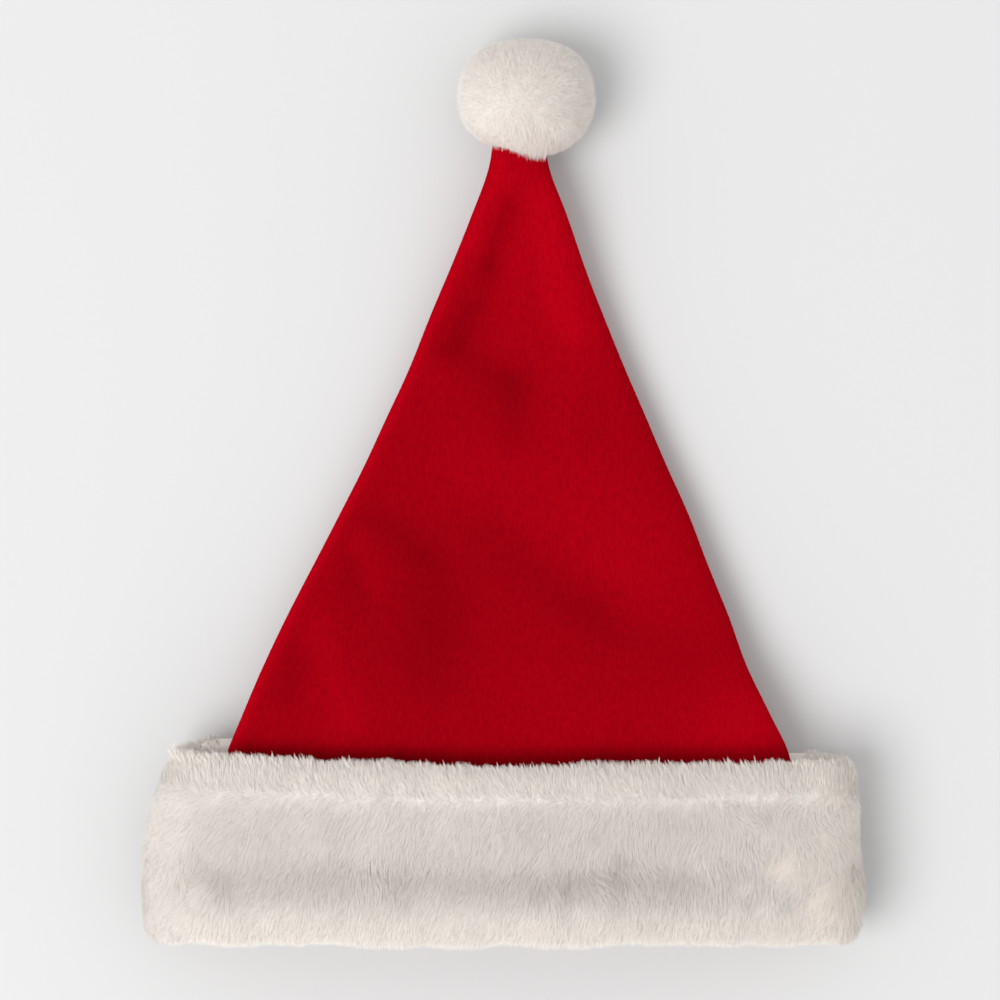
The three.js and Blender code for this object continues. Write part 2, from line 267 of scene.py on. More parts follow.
def noise(points, size, seed):
    """Smooth noise from -1 to 1 whose lumps are about size across."""
    cells = 32
    lattice = np.random.default_rng(seed).uniform(-1, 1, (cells, cells, cells))
    q = np.asarray(points, float) / size
    whole = np.floor(q).astype(int)
    f = q - whole
    f = f * f * (3 - 2 * f)
    total = np.zeros(len(q))
    for corner in range(8):
        bits = np.array([corner & 1, corner >> 1 & 1, corner >> 2 & 1])
        x, y, z = ((whole + bits) % cells).T
        share = np.prod(np.where(bits, f, 1 - f), axis=1)
        total += lattice[x, y, z] * share
    return total


def smooth_step(low, high, x):
    t = np.clip((x - low) / (high - low), 0, 1)
    return t * t * (3 - 2 * t)


def bell(x, middle, wide):
    """1 at the middle, fading out on both sides."""
    return np.exp(-(((x - middle) / wide) ** 2))


def near_place(points, x, y, wide):
    """1 at a place across and along, fading out all round it."""
    return np.exp(-((points[..., 0] - x) ** 2 + (points[..., 1] - y) ** 2) / wide**2)


def unit(v):
    return v / np.maximum(np.linalg.norm(v, axis=-1, keepdims=True), 1e-9)


def lens(angle):
    """A lens-shaped loop of half size 1: two layers of cloth laid flat on each other."""
    rise = np.sin(angle)
    return np.cos(angle), np.sign(rise) * np.abs(rise) ** SIDE_FOLD


def crown_points(angle, distance, inset=0.0):
    """Points of the crown at angles round it and distances from its sewn edge, all in millimetres."""
    along = distance / CROWN_LENGTH
    half = TIP_WIDTH / 2 + (CROWN_HALF - TIP_WIDTH / 2) * look_up(CROWN_SECTIONS, 1, along)
    lean = TIP_LEAN * look_up(CROWN_SECTIONS, 2, along)
    half_depth = (TIP_DEPTH + (RIM_DEPTH - TIP_DEPTH) * look_up(CROWN_SECTIONS, 3, along)) / 2
    rim_lift = (RIM_MIDDLE - RIM_DEPTH / 2 - FLOOR_CLEAR) * look_up(CROWN_SECTIONS, 4, along)
    tip_lift = (POMPOM_MIDDLE - TIP_DEPTH / 2 - FLOOR_CLEAR) * look_up(CROWN_SECTIONS, 5, along)
    middle = FLOOR_CLEAR + rim_lift + tip_lift + half_depth
    into_round = (distance - (CROWN_LENGTH - inset - TIP_ROUND)) / TIP_ROUND
    closing = np.sqrt(1 - np.clip(into_round, 0, ROUND_STEPS[-1]) ** 2)
    ux, uz = lens(angle)
    x = ux * (half - inset) * closing
    y = SEWN_EDGE + distance
    dent = np.zeros(np.broadcast(x, y).shape)
    for across, up, deep, long, wide, turn in CROWN_DENTS:
        c, s = math.cos(math.radians(turn)), math.sin(math.radians(turn))
        dx = x - across * half
        dy = y - SEWN_EDGE - up * CROWN_LENGTH
        p = (dx * c + dy * s) / (long * RIM_WIDTH)
        q = (dy * c - dx * s) / (wide * RIM_WIDTH)
        dent = dent + deep * RIM_DEPTH * np.exp(-p * p - q * q)
    z = middle + uz * (half_depth - inset) * closing - dent * np.clip(uz, 0, 1)
    return np.stack(np.broadcast_arrays(x + lean, y, z), axis=-1)


def cuff_points(angle, up, out):
    """Points of the cuff's band: angles round the rim, and shares of its height and out through its pad."""
    ux, uz = lens(angle)
    leftward = (1 - np.cos(angle)) / 2
    backward = (1 - np.sin(angle)) / 2
    height = CUFF_HEIGHT - 2 * PILE + LEFT_RISE * leftward
    height = height + (BACK_RISE + BACK_LEFT_RISE * leftward) * backward
    leaning = smooth_step(0.5, 1.1, up)
    taper = np.where(ux < 0, LEFT_TAPER * leaning, RIGHT_TAPER * up)
    half = CUFF_INNER_HALF - taper
    steep = SIDE_FOLD * np.maximum(np.abs(np.sin(angle)), 1e-3) ** (SIDE_FOLD - 1) * CUFF_INNER_DEPTH
    nx, nz = np.cos(angle) * steep, np.sin(angle) * half
    size = np.hypot(nx, nz)
    x = ux * half + nx / size * out * CUFF_PAD
    z = RIM_MIDDLE + uz * CUFF_INNER_DEPTH + nz / size * out * CUFF_PAD
    return np.stack(np.broadcast_arrays(x, PILE + up * height, z), axis=-1)


def closed_curve(rows, count):
    """count points spaced evenly on a smooth closed curve through the rows."""
    n = len(rows)
    t = np.linspace(0, n, 40 * n, endpoint=False)
    i = t.astype(int)
    f = (t - i)[:, None]
    a, b, c, d = (rows[(i + k) % n] for k in (-1, 0, 1, 2))
    fine = 0.5 * (2 * b + (c - a) * f + (2 * a - 5 * b + 4 * c - d) * f**2 + (3 * b - 3 * c + d - a) * f**3)
    scale = np.array([CUFF_HEIGHT, CUFF_PAD])
    steps = np.linalg.norm((np.roll(fine, -1, axis=0) - fine) * scale, axis=1)
    length = np.concatenate([[0], np.cumsum(steps)])
    fine = np.vstack([fine, fine[:1]])
    at = np.arange(count) / count * length[-1]
    return np.stack([np.interp(at, length, fine[:, k]) for k in range(2)], axis=1)


def even_angles(count):
    """Angles that stand evenly along the cuff's outer face."""
    angles = np.linspace(0, 2 * math.pi, 2881)
    line = cuff_points(angles, 0.5, 1.0)
    length = np.concatenate([[0], np.cumsum(np.linalg.norm(np.diff(line, axis=0), axis=1))])
    return np.interp(np.arange(count) / count * length[-1], length, angles)


def normals_of(grid, closed_v):
    """Outward normals of a grid of points, rows round a loop and columns along a line."""
    du = np.roll(grid, -1, axis=0) - np.roll(grid, 1, axis=0)
    if closed_v:
        dv = np.roll(grid, -1, axis=1) - np.roll(grid, 1, axis=1)
    else:
        dv = np.gradient(grid, axis=1)
    return unit(np.cross(dv, du)), unit(du), unit(dv)


def material(name):
    made = bpy.data.materials.new(name)
    made.use_nodes = True
    nodes = made.node_tree.nodes
    return made, nodes, made.node_tree.links, nodes["Principled BSDF"]


def ramp(nodes, links, source, stops):
    node = nodes.new("ShaderNodeValToRGB")
    elements = node.color_ramp.elements
    while len(elements) < len(stops):
        elements.new(0.5)
    for element, (place, colour) in zip(elements, stops, strict=True):
        element.position = place
        element.color = (*colour, 1)
    links.new(source, node.inputs["Fac"])
    return node.outputs["Color"]


def mixed(nodes, links, kind, factor, first, second):
    node = nodes.new("ShaderNodeMix")
    node.data_type = "RGBA"
    node.blend_type = kind
    node.inputs[0].default_value = factor
    links.new(first, node.inputs[6])
    links.new(second, node.inputs[7])
    return node.outputs[2]


def matte(shader, roughness, specular):
    shader.inputs["Roughness"].default_value = roughness
    shader.inputs["Specular IOR Level"].default_value = specular


def bump(nodes, links, shader, height, strength, distance):
    node = nodes.new("ShaderNodeBump")
    node.inputs["Strength"].default_value = strength
    node.inputs["Distance"].default_value = distance
    links.new(height, node.inputs["Height"])
    links.new(node.outputs["Normal"], shader.inputs["Normal"])


def streaks(nodes, links, scale, turn, size, detail):
    """Fine noise drawn out along the hat, or along a way turned from it, and its node."""
    place = nodes.new("ShaderNodeTexCoord").outputs["Object"]
    stretch = nodes.new("ShaderNodeMapping")
    stretch.inputs["Scale"].default_value = scale
    stretch.inputs["Rotation"].default_value = (0, 0, turn)
    links.new(place, stretch.inputs["Vector"])
    node = nodes.new("ShaderNodeTexNoise")
    node.inputs["Scale"].default_value = size
    node.inputs["Detail"].default_value = detail
    links.new(stretch.outputs["Vector"], node.inputs["Vector"])
    return node.outputs["Fac"], node


def set_normals(mesh, normals):
    """Gives each corner of a mesh its own shading normal."""
    layer = mesh.attributes.new("custom_normal", "FLOAT_VECTOR", "CORNER")
    layer.data.foreach_set("vector", normals.astype(np.float32).ravel())


def add_mesh(name, points, triangles, materials, uv=None, second=None, normals=None, nap=None):
    """A piece of the hat from points in millimetres and rows of three point numbers, on its one body."""
    mesh = bpy.data.meshes.new(name)
    mesh.vertices.add(len(points))
    mesh.vertices.foreach_set("co", (points * MM + RIM_AT).astype(np.float32).ravel())
    mesh.loops.add(triangles.size)
    mesh.loops.foreach_set("vertex_index", triangles.astype(np.int32).ravel())
    mesh.polygons.add(len(triangles))
    mesh.polygons.foreach_set("loop_start", np.arange(0, triangles.size, 3, dtype=np.int32))
    mesh.update(calc_edges=True)
    for made in materials:
        mesh.materials.append(made)
    if second is not None:
        mesh.polygons.foreach_set("material_index", second.astype(np.int32))
    if uv is not None:
        mesh.uv_layers.new(name="OFBake").data.foreach_set("uv", uv.astype(np.float32).ravel())
    # The nap attribute carries the crown's painted light and shade.
    if nap is not None:
        mesh.attributes.new("nap", "FLOAT", "POINT").data.foreach_set("value", nap.astype(np.float32))
    if normals is not None:
        set_normals(mesh, normals)
    piece = bpy.data.objects.new(name, mesh)
    bpy.context.scene.collection.objects.link(piece)
    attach(piece, "root")
    print(name, "triangles", len(triangles))
    return piece


def grid_triangles(rows, columns, closed_columns):
    """Triangles of a grid of points whose rows run round a loop, with the faces out."""
    r = np.arange(rows)
    c = np.arange(columns if closed_columns else columns - 1)
    r, c = (m.ravel() for m in np.meshgrid(r, c, indexing="ij"))
    r1, c1 = (r + 1) % rows, (c + 1) % columns
    a, b, d, e = r * columns + c, r * columns + c1, r1 * columns + c1, r1 * columns + c
    return np.concatenate([np.stack([a, b, d], axis=1), np.stack([a, d, e], axis=1)])


def end_fans(rows, columns):
    """Triangles that close both ends of such a grid onto two points that follow it."""
    i = np.arange(rows)
    j = (i + 1) % rows
    first, last = np.full(rows, rows * columns), np.full(rows, rows * columns + 1)
    start = np.stack([j * columns, first, i * columns], axis=1)
    end = np.stack([i * columns + columns - 1, last, j * columns + columns - 1], axis=1)
    return np.concatenate([start, end])


def plush_material():
    """Short-pile red cloth: fine nap streaks, painted lighter and darker by the light and shade in its nap
    attribute, with no gloss and a faint sheen.
    """
    made, nodes, links, shader = material("red_plush_cloth")
    pile, pile_node = streaks(nodes, links, (1.0, 0.3, 1.0), 0.0, 950, 5)
    pile_node.inputs["Roughness"].default_value = 0.65
    # The nap attribute holds painted light and shade, and a little random tone.
    painted_light_and_shade = nodes.new("ShaderNodeAttribute")
    painted_light_and_shade.attribute_name = "nap"
    fine = ramp(nodes, links, pile, [(0.3, (0.7, 0.7, 0.7)), (0.7, (1.0, 1.0, 1.0))])
    dull, bright = (0.192, 0.0003, 0.003), (0.461, 0.0006, 0.0075)
    base = ramp(nodes, links, painted_light_and_shade.outputs["Fac"], [(0.0, dull), (1.0, bright)])
    links.new(mixed(nodes, links, "MULTIPLY", 1.0, base, fine), shader.inputs["Base Color"])
    matte(shader, 1.0, 0.0)
    shader.inputs["Sheen Weight"].default_value = 0.1
    shader.inputs["Sheen Roughness"].default_value = 0.5
    shader.inputs["Sheen Tint"].default_value = (0.8, 0.006, 0.03, 1)
    bump(nodes, links, shader, pile, 0.45, 0.0006)
    return made


def backing_material():
    """The cloth's knitted reverse, seen inside the hat."""
    made, nodes, links, shader = material("red_cloth_reverse")
    place = nodes.new("ShaderNodeTexCoord").outputs["Object"]
    knit = nodes.new("ShaderNodeTexWave")
    knit.inputs["Scale"].default_value = 420
    knit.inputs["Distortion"].default_value = 2.5
    knit.inputs["Detail"].default_value = 2
    knit.inputs["Detail Scale"].default_value = 3
    links.new(place, knit.inputs["Vector"])
    reds = [(0.1, (0.2, 0.001, 0.006)), (0.9, (0.32, 0.002, 0.011))]
    links.new(ramp(nodes, links, knit.outputs["Fac"], reds), shader.inputs["Base Color"])
    matte(shader, 1.0, 0.0)
    bump(nodes, links, shader, knit.outputs["Fac"], 0.6, 0.0005)
    return made


FUR_TINTS = [(0.0, (0.73, 0.682, 0.642)), (0.5, (0.885, 0.838, 0.797)), (1.0, (0.995, 0.936, 0.88))]


def fur_material(name):
    """Fur fibres: their map runs up them from root to tip, and across from dull ones to bright ones; the
    roots are painted a little darker as shade.
    """
    made, nodes, links, shader = material(name)
    fibre = nodes.new("ShaderNodeUVMap")
    fibre.uv_map = "OFBake"
    split = nodes.new("ShaderNodeSeparateXYZ")
    links.new(fibre.outputs["UV"], split.inputs["Vector"])
    tint = ramp(nodes, links, split.outputs["X"], FUR_TINTS)
    # Painted shade: the roots are a little darker than the tips.
    grown = [(0.0, (0.92, 0.905, 0.89)), (0.4, (0.98, 0.975, 0.97)), (1.0, (1.0, 1.0, 1.0))]
    shade = ramp(nodes, links, split.outputs["Y"], grown)
    links.new(mixed(nodes, links, "MULTIPLY", 1.0, tint, shade), shader.inputs["Base Color"])
    matte(shader, 0.8, 0.2)
    return made


def undercoat_material(name):
    """The dense short fur between the fibres."""
    made, nodes, links, shader = material(name)
    hairs = streaks(nodes, links, (1.0, 0.35, 1.0), -NAP_LEAN, 1300, 3)[0]
    whites = [(0.3, (0.8, 0.76, 0.72)), (0.7, (0.92, 0.88, 0.83))]
    links.new(ramp(nodes, links, hairs, whites), shader.inputs["Base Color"])
    matte(shader, 0.9, 0.1)
    bump(nodes, links, shader, hairs, 0.4, 0.0005)
    return made


def crease_field(x, y):
    """The height of the creases at places on the front cloth, and the light and shade painted along them."""
    height, painted_light_and_shade = np.zeros(len(x)), np.zeros(len(x))
    place = np.stack([x, y], axis=1)
    for x0, y0, x1, y1, width, turned in CREASES:
        start, run = np.array([x0, y0]), np.array([x1 - x0, y1 - y0])
        share = np.clip((place - start) @ run / (run @ run), 0, 1)
        off = place - start - share[:, None] * run
        across = np.array([run[1], -run[0]]) / np.linalg.norm(run)
        across = across * np.sign(across @ AWAY_FROM_LIGHT)
        fade = np.exp(-(off**2).sum(axis=1) / width**2)
        height += turned * CREASE_HEIGHT * (off @ across) * fade
        # Painted light where the crease faces the light, painted shade where it turns away.
        painted_light_and_shade += turned * fade
    return height, painted_light_and_shade


def cloth_lift(flat, normals):
    """How far creases and rumples lift the crown's cloth where the cuff leaves it free, and the light and
    shade painted along the creases.
    """
    free = smooth_step(CUFF_HEIGHT + 2, CUFF_HEIGHT + 20, flat[:, 1])
    front = smooth_step(0.15, 0.7, normals[:, 2])
    creases, painted_light_and_shade = crease_field(flat[:, 0], flat[:, 1])
    rumple = 0.35 * noise(flat, 38, 3)
    return (creases * front + rumple * (0.4 + 0.6 * front)) * free, painted_light_and_shade * front * free


def crown_painted_light_and_tone(outer, normals, painted_light_and_shade):
    """How bright the crown's outer face is painted, from 0 dull to 1 bright: mostly painted light and shade,
    with a little random tone.
    """
    flat = outer.reshape(-1, 3)
    along = flat[:, 1]
    across = (flat[:, 0] - TIP_LEAN * 0.5) / CROWN_HALF
    to_right = smooth_step(-0.1, 0.75, across + (along - 100) / 500)
    from_left = (outer[..., 0] - outer[..., 0].min(axis=0)).reshape(-1)
    # Painted light and shade along the creases, a little random tone, and brighter towards the right.
    nap = 0.5 + 0.19 * painted_light_and_shade + 0.04 * noise(flat, 60, 5) + 0.22 * to_right
    # A painted highlight along the left edge, where the cloth turns down towards the light.
    nap = nap + 0.6 * bell(from_left, 0, 4.2) * (normals[:, 2] > -0.2)
    # Brighter towards the tip.
    nap = nap + 0.16 * smooth_step(235, 330, along)
    # The cloth is in shade along the cuff's top edge.
    nap = nap - 0.42 * smooth_step(98, 89, along)
    # Broad patches of painted light and shade.
    for x, y, wide, bright in PAINTED_LIGHT_AND_SHADE_PATCHES:
        nap = nap + bright * near_place(flat, x, y, wide)
    return nap


def build_crown():
    """The crown's inner face, its sewn edge and its outer face as one closed cloth."""
    seam_at = 1.5 * math.pi + np.array([-4.0, -2.6, -1.6, -0.8, 0.8, 1.6, 2.6, 4.0]) / CROWN_HALF
    angles = np.sort(np.concatenate([even_angles(CROWN_AROUND), seam_at]))[:, None]
    around = len(angles)
    straight = CROWN_LENGTH - TIP_ROUND
    round_end = ROUND_STEPS * TIP_ROUND
    out_at = np.concatenate([np.linspace(0, straight, CROWN_OUTER_STEPS), straight + round_end])[None, :]
    outer = crown_points(angles, out_at)
    normals = normals_of(outer, False)[0].reshape(-1, 3)
    flat = outer.reshape(-1, 3)
    lift, painted_light_and_shade = cloth_lift(flat, normals)
    painted_light_and_tone_out = crown_painted_light_and_tone(outer, normals, painted_light_and_shade)
    seam = bell(flat[:, 0], TIP_LEAN * 0.5, 1.3) * (normals[:, 2] < -0.5)
    pucker = 0.3 + 0.08 * noise(flat, 5, 6)
    flat = flat + normals * (lift - seam * pucker)[:, None]
    flat[:, 2] = np.maximum(flat[:, 2], 0.4)
    outer = flat.reshape(outer.shape)
    straight_in = straight - CLOTH_WALL
    in_at = np.concatenate([np.linspace(0, straight_in, CROWN_INNER_STEPS), straight_in + round_end])
    inner = crown_points(angles, in_at[None, :], CLOTH_WALL)
    inner_normals = normals_of(inner, False)[0].reshape(-1, 3)
    inner_lift = cloth_lift(inner.reshape(-1, 3), inner_normals)[0]
    inner = (inner.reshape(-1, 3) + inner_normals * inner_lift[:, None]).reshape(inner.shape)[:, ::-1]
    grid = np.concatenate([inner, outer], axis=1)
    columns, inner_columns = grid.shape[1], inner.shape[1]
    # The nap attribute: painted light and shade on the outer face, an even middle value inside.
    nap = np.full(grid.shape[:2], 0.5)
    nap[:, inner_columns:] = painted_light_and_tone_out.reshape(outer.shape[:2])
    points = np.vstack([grid.reshape(-1, 3), grid[:, 0].mean(axis=0), grid[:, -1].mean(axis=0)])
    triangles = np.concatenate([grid_triangles(around, columns, False), end_fans(around, columns)])
    reverse = (triangles % columns < inner_columns).all(axis=1)
    reverse[-2 * around :] = np.arange(2 * around) < around
    materials = [plush_material(), backing_material()]
    nap = np.append(nap.ravel(), [0.5, 0.5])
    piece = add_mesh("crown_cloth", points, triangles, materials, second=reverse, nap=nap)
    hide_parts("crown")


def fibres(name, made, roots, tips, skin_normal, width, tint, random, lying=0.34, uneven=0.12):
    """A piece of fibres, each a narrow blade with two faces, shaded softly like the fur's surface."""
    count = len(roots)
    along = unit(tips - roots)
    side = unit(np.cross(along, skin_normal + [0, 0, 0.6]))
    up = np.cross(side, along)
    roll = random.normal(0, 0.45, count)[:, None]
    half = (side * np.cos(roll) + up * np.sin(roll)) * (width / 2)[:, None]
    facing = unit(np.cross(half, along))
    face = np.stack([roots - half, roots + half, tips], axis=1) + BLADE_HALF * facing[:, None]
    back = np.stack([roots + half, roots - half, tips], axis=1) - BLADE_HALF * facing[:, None]
    points = np.concatenate([face, back]).reshape(-1, 3)
    soft = unit(skin_normal + lying * up + random.normal(0, uneven, (count, 3)))
    behind = soft - 2 * facing * np.maximum((soft * facing).sum(axis=1, keepdims=True), 0.1)
    u = np.tile(0.05 + 0.9 * np.clip(tint, 0, 1), 2)
    v = np.tile([0.03, 0.03, 0.97], (2 * count, 1))
    uv = np.stack([np.stack([u - 0.03, u + 0.03, u], axis=1), v], axis=2)
    triangles = np.arange(6 * count).reshape(-1, 3)
    normals = np.repeat(np.concatenate([soft, unit(behind)]), 3, axis=0)
    return add_mesh(name, points, triangles, [made], uv=uv.reshape(-1, 2), normals=normals)


def planted(root, tips, outward):
    """Roots sunk into the backing, and both ends of every fibre kept off the floor."""
    root = root - outward * ROOT_DEPTH
    root[:, 2] = np.maximum(root[:, 2], LOWEST_ROOT)
    tips[:, 2] = np.maximum(tips[:, 2], LOWEST_TIP)
    return root, tips


def scatter(grid, weight, count, random, closed_columns=True):
    """Random places on a grid of points, dense where weight is high: row and column, each with its part."""
    du = np.roll(grid, -1, axis=0) - grid
    dv = np.roll(grid, -1, axis=1) - grid
    area = np.linalg.norm(np.cross(du, dv), axis=2) * weight
    if not closed_columns:
        area[:, -1] = 0
    chances = np.cumsum(area.ravel())
    cell = np.searchsorted(chances, random.uniform(0, chances[-1], count))
    row, column = np.divmod(np.minimum(cell, area.size - 1), grid.shape[1])
    return row + random.random(count), column + random.random(count)


def at_place(grid, row, column):
    """The value of a grid at rows and columns with parts, both running round."""
    rows, columns = grid.shape[:2]
    r, c = np.floor(row).astype(int), np.floor(column).astype(int)
    fr, fc = (row - r)[:, None], (column - c)[:, None]
    r, c = r % rows, c % columns
    r1, c1 = (r + 1) % rows, (c + 1) % columns
    low = grid[r, c] * (1 - fc) + grid[r, c1] * fc
    high = grid[r1, c] * (1 - fc) + grid[r1, c1] * fc
    return low * (1 - fr) + high * fr


def clumped(tips, first, second, cell, random, pull):
    """Tips drawn together into small locks, each towards the mean tip of its cell of the skin."""
    a = np.floor(first / cell[0] + random.normal(0, 0.2, len(first))).astype(np.int64)
    b = np.floor(second / cell[1] + 0.5 * (a % 2) + random.normal(0, 0.2, len(first))).astype(np.int64)
    _, group = np.unique(a * 100003 + b, return_inverse=True)
    size = np.bincount(group)
    middle = np.stack([np.bincount(group, tips[:, k]) / size for k in range(3)], axis=1)
    pull = np.broadcast_to(np.asarray(pull, float), len(first))[:, None]
    return tips + (middle[group] - tips) * pull


def groove_fill(angle, up, out):
    """How far the cuff's outer face fills out again where the groove ends, towards the left and right."""
    x = np.cos(angle) * CUFF_INNER_HALF
    away = np.maximum(smooth_step(-125, -150, x), smooth_step(85, 125, x))
    away = np.maximum(away, smooth_step(0.2, -0.2, np.sin(angle)) * 0.6)
    return 0.17 * away * bell(up, GROOVE_AT, 0.12) * (out > 0.5)


def fringe(edge_points, count, random):
    """Small pointed tufts that stand over the cuff's top edge and lean to the left: roots, tips and tints."""
    hairs = 8
    base = edge_points[random.integers(0, len(edge_points), count)]
    lean = random.normal(-0.42, 0.24, count)
    aim = unit(np.stack([lean, np.ones(count), random.normal(0.05, 0.14, count)], axis=1))
    reach = random.uniform(3.4, 7.8, count) * (1 + 0.25 * noise(base, 7, 48))
    end = base + aim * reach[:, None]
    spread = random.normal(0, 1, (count, hairs, 3)) * np.array([0.3, 0.9, 0.3])
    roots = base[:, None] + spread - aim[:, None] * 0.8
    back = random.uniform(0, 0.3, (count, hairs, 1)) * reach[:, None, None]
    tips = end[:, None] - aim[:, None] * back + random.normal(0, 0.22, (count, hairs, 3))
    tint = np.repeat(random.normal(0.85, 0.1, count), hairs)
    return roots.reshape(-1, 3), tips.reshape(-1, 3), tint


def cuff_skin(angles, up, out):
    """The cuff's backing as a grid round its rim and profile, its normals and the two ways along it."""
    grid = cuff_points(angles, up, out + groove_fill(angles, up, out))
    normals, round_way, profile_way = normals_of(grid, True)
    flat, across = grid.reshape(-1, 3), grid[..., 0]
    lumps = (0.5 * noise(flat, 21, 11) + 0.25 * noise(flat, 8, 12)).reshape(across.shape)
    lumps = lumps * (1 + 1.2 * smooth_step(-0.2, -0.7, normals[..., 1]))
    # The fur is short behind, along the top edge, and the backing follows it.
    bare = smooth_step(-0.1, -0.34, np.sin(angles)) * smooth_step(0.84, 0.94, up)
    backing = CUFF_BACKING + EDGE_BACKING * normals[..., 1] ** 2 * (1 - bare) - 0.7 * bare
    # The hem's line is wavy between the side folds.
    hem = smooth_step(168, 145, np.abs(across)) * smooth_step(-0.2, -0.8, normals[..., 1])
    wavy = 1.9 + 0.9 * noise(flat * [1, 0, 0], 19, 13).reshape(across.shape)
    wavy = wavy + 3.4 * bell(across, 90, 26) - 2.6 * bell(across, 37, 7)
    backing = backing + hem * wavy
    # The top edge sags in the middle of the front and stands up behind.
    grid[..., 1] -= 1.7 * bell(across, 0, 48) * smooth_step(0.84, 0.96, up) * (normals[..., 2] > -0.2)
    leftward, rightward = (1 - np.cos(angles)) / 2, (1 + np.cos(angles)) / 2
    behind = smooth_step(0.02, -0.2, np.sin(angles)) * (3.8 * leftward**3 + 1.7 * rightward**3)
    grid[..., 1] += behind * smooth_step(0.7, 1.0, up)
    for x, y, wide, high in PITS:
        lumps = lumps + high * near_place(grid, x, y, wide) * (normals[..., 2] > 0.3)
    open_face = smooth_step(0.02, 0.25, out)
    grid = grid + normals * ((lumps - backing) * open_face)[..., None]
    return grid, normals, round_way, profile_way


def cuff_nap(root, outward, along_rim, along_profile, height, edge, way, random):
    """Which way the cuff's fibres lie, how far they are raised, and how near a tuft they are."""
    count = len(root)
    left = -along_rim[:, 0] * NAP_LEAN
    nap = unit(along_profile * way[:, None] + along_rim * left[:, None])
    loose = smooth_step(80, 125, root[:, 0]) + 0.5 * smooth_step(-120, -150, root[:, 0])
    loose = loose * smooth_step(0.84, 0.78, height) * smooth_step(0.1, 0.24, height)
    turn = 14 * noise(root, 26, 41) + (18 + 30 * loose) * noise(root, 8, 42) + random.normal(0, 9, count)
    turn = np.radians(turn)
    raised = 22 + 8 * noise(root, 11, 43) + random.normal(0, 6, count) + 5 * loose
    raised = raised + edge * (14 + 16 * noise(root, 4, 46))
    tufted = np.zeros(count)
    for x, y, wide, turned_by in TUFTS:
        near = near_place(root, x, y, wide) * smooth_step(0.3, 0.7, outward[:, 2])
        turn = turn + np.radians(turned_by) * near
        raised = raised + 10 * near
        tufted = tufted + near
    nap = nap * np.cos(turn)[:, None] + np.cross(outward, nap) * np.sin(turn)[:, None]
    return nap, np.radians(np.clip(raised, 4, 75))[:, None], tufted


def cuff_tint(root, height, parting, first, second, way, is_front):
    """How bright the cuff's fibres are: painted shade in its middle band, groove and pits, at the parting,
    along the top edge and at the left end, painted light on the bulge and at the right end, and random tone.
    """
    across = root[:, 0]
    # Painted shade over the middle band of the front face.
    painted_middle_shade = smooth_step(0.16, 0.3, height) * smooth_step(0.84, 0.76, height)
    painted_middle_shade = painted_middle_shade * smooth_step(-160, -128, across) * smooth_step(168, 132, across)
    painted_middle_shade = painted_middle_shade * (root[:, 2] > RIM_MIDDLE)
    # Painted shade in the groove and the pits, and painted light on the bulge.
    groove = 0.8 * bell(height - GROOVE_AT, -0.03, 0.08) * painted_middle_shade * smooth_step(125, 85, across)
    for x, y, wide, high in PITS:
        groove = groove - high * near_place(root, x, y, 1.4 * wide)
    slant = first + second * NAP_LEAN * np.sign(way)
    strand = noise(np.stack([slant / 0.9, second / 6, np.zeros(len(root))], axis=1), 1, 49)
    # The roots along the top edge lie in shade, but not at the left fold.
    under = smooth_step(0.9, 0.97, height) * smooth_step(145, 125, np.abs(across)) * is_front
    under = under - 0.6 * smooth_step(0.86, 0.92, height) * smooth_step(-130, -145, across)
    # Painted shade in the middle band, the groove, at the parting and along the top edge.
    tint = 0.75 - 0.42 * painted_middle_shade - 0.28 * groove - 0.28 * bell(height, parting, 0.022) - 0.4 * under
    # Painted shade at the left end and painted light at the right end.
    tint = tint - 0.25 * smooth_step(-135, -165, across) + 0.2 * smooth_step(135, 165, across)
    return tint + 0.08 * noise(root, 15, 45) + 0.05 * strand


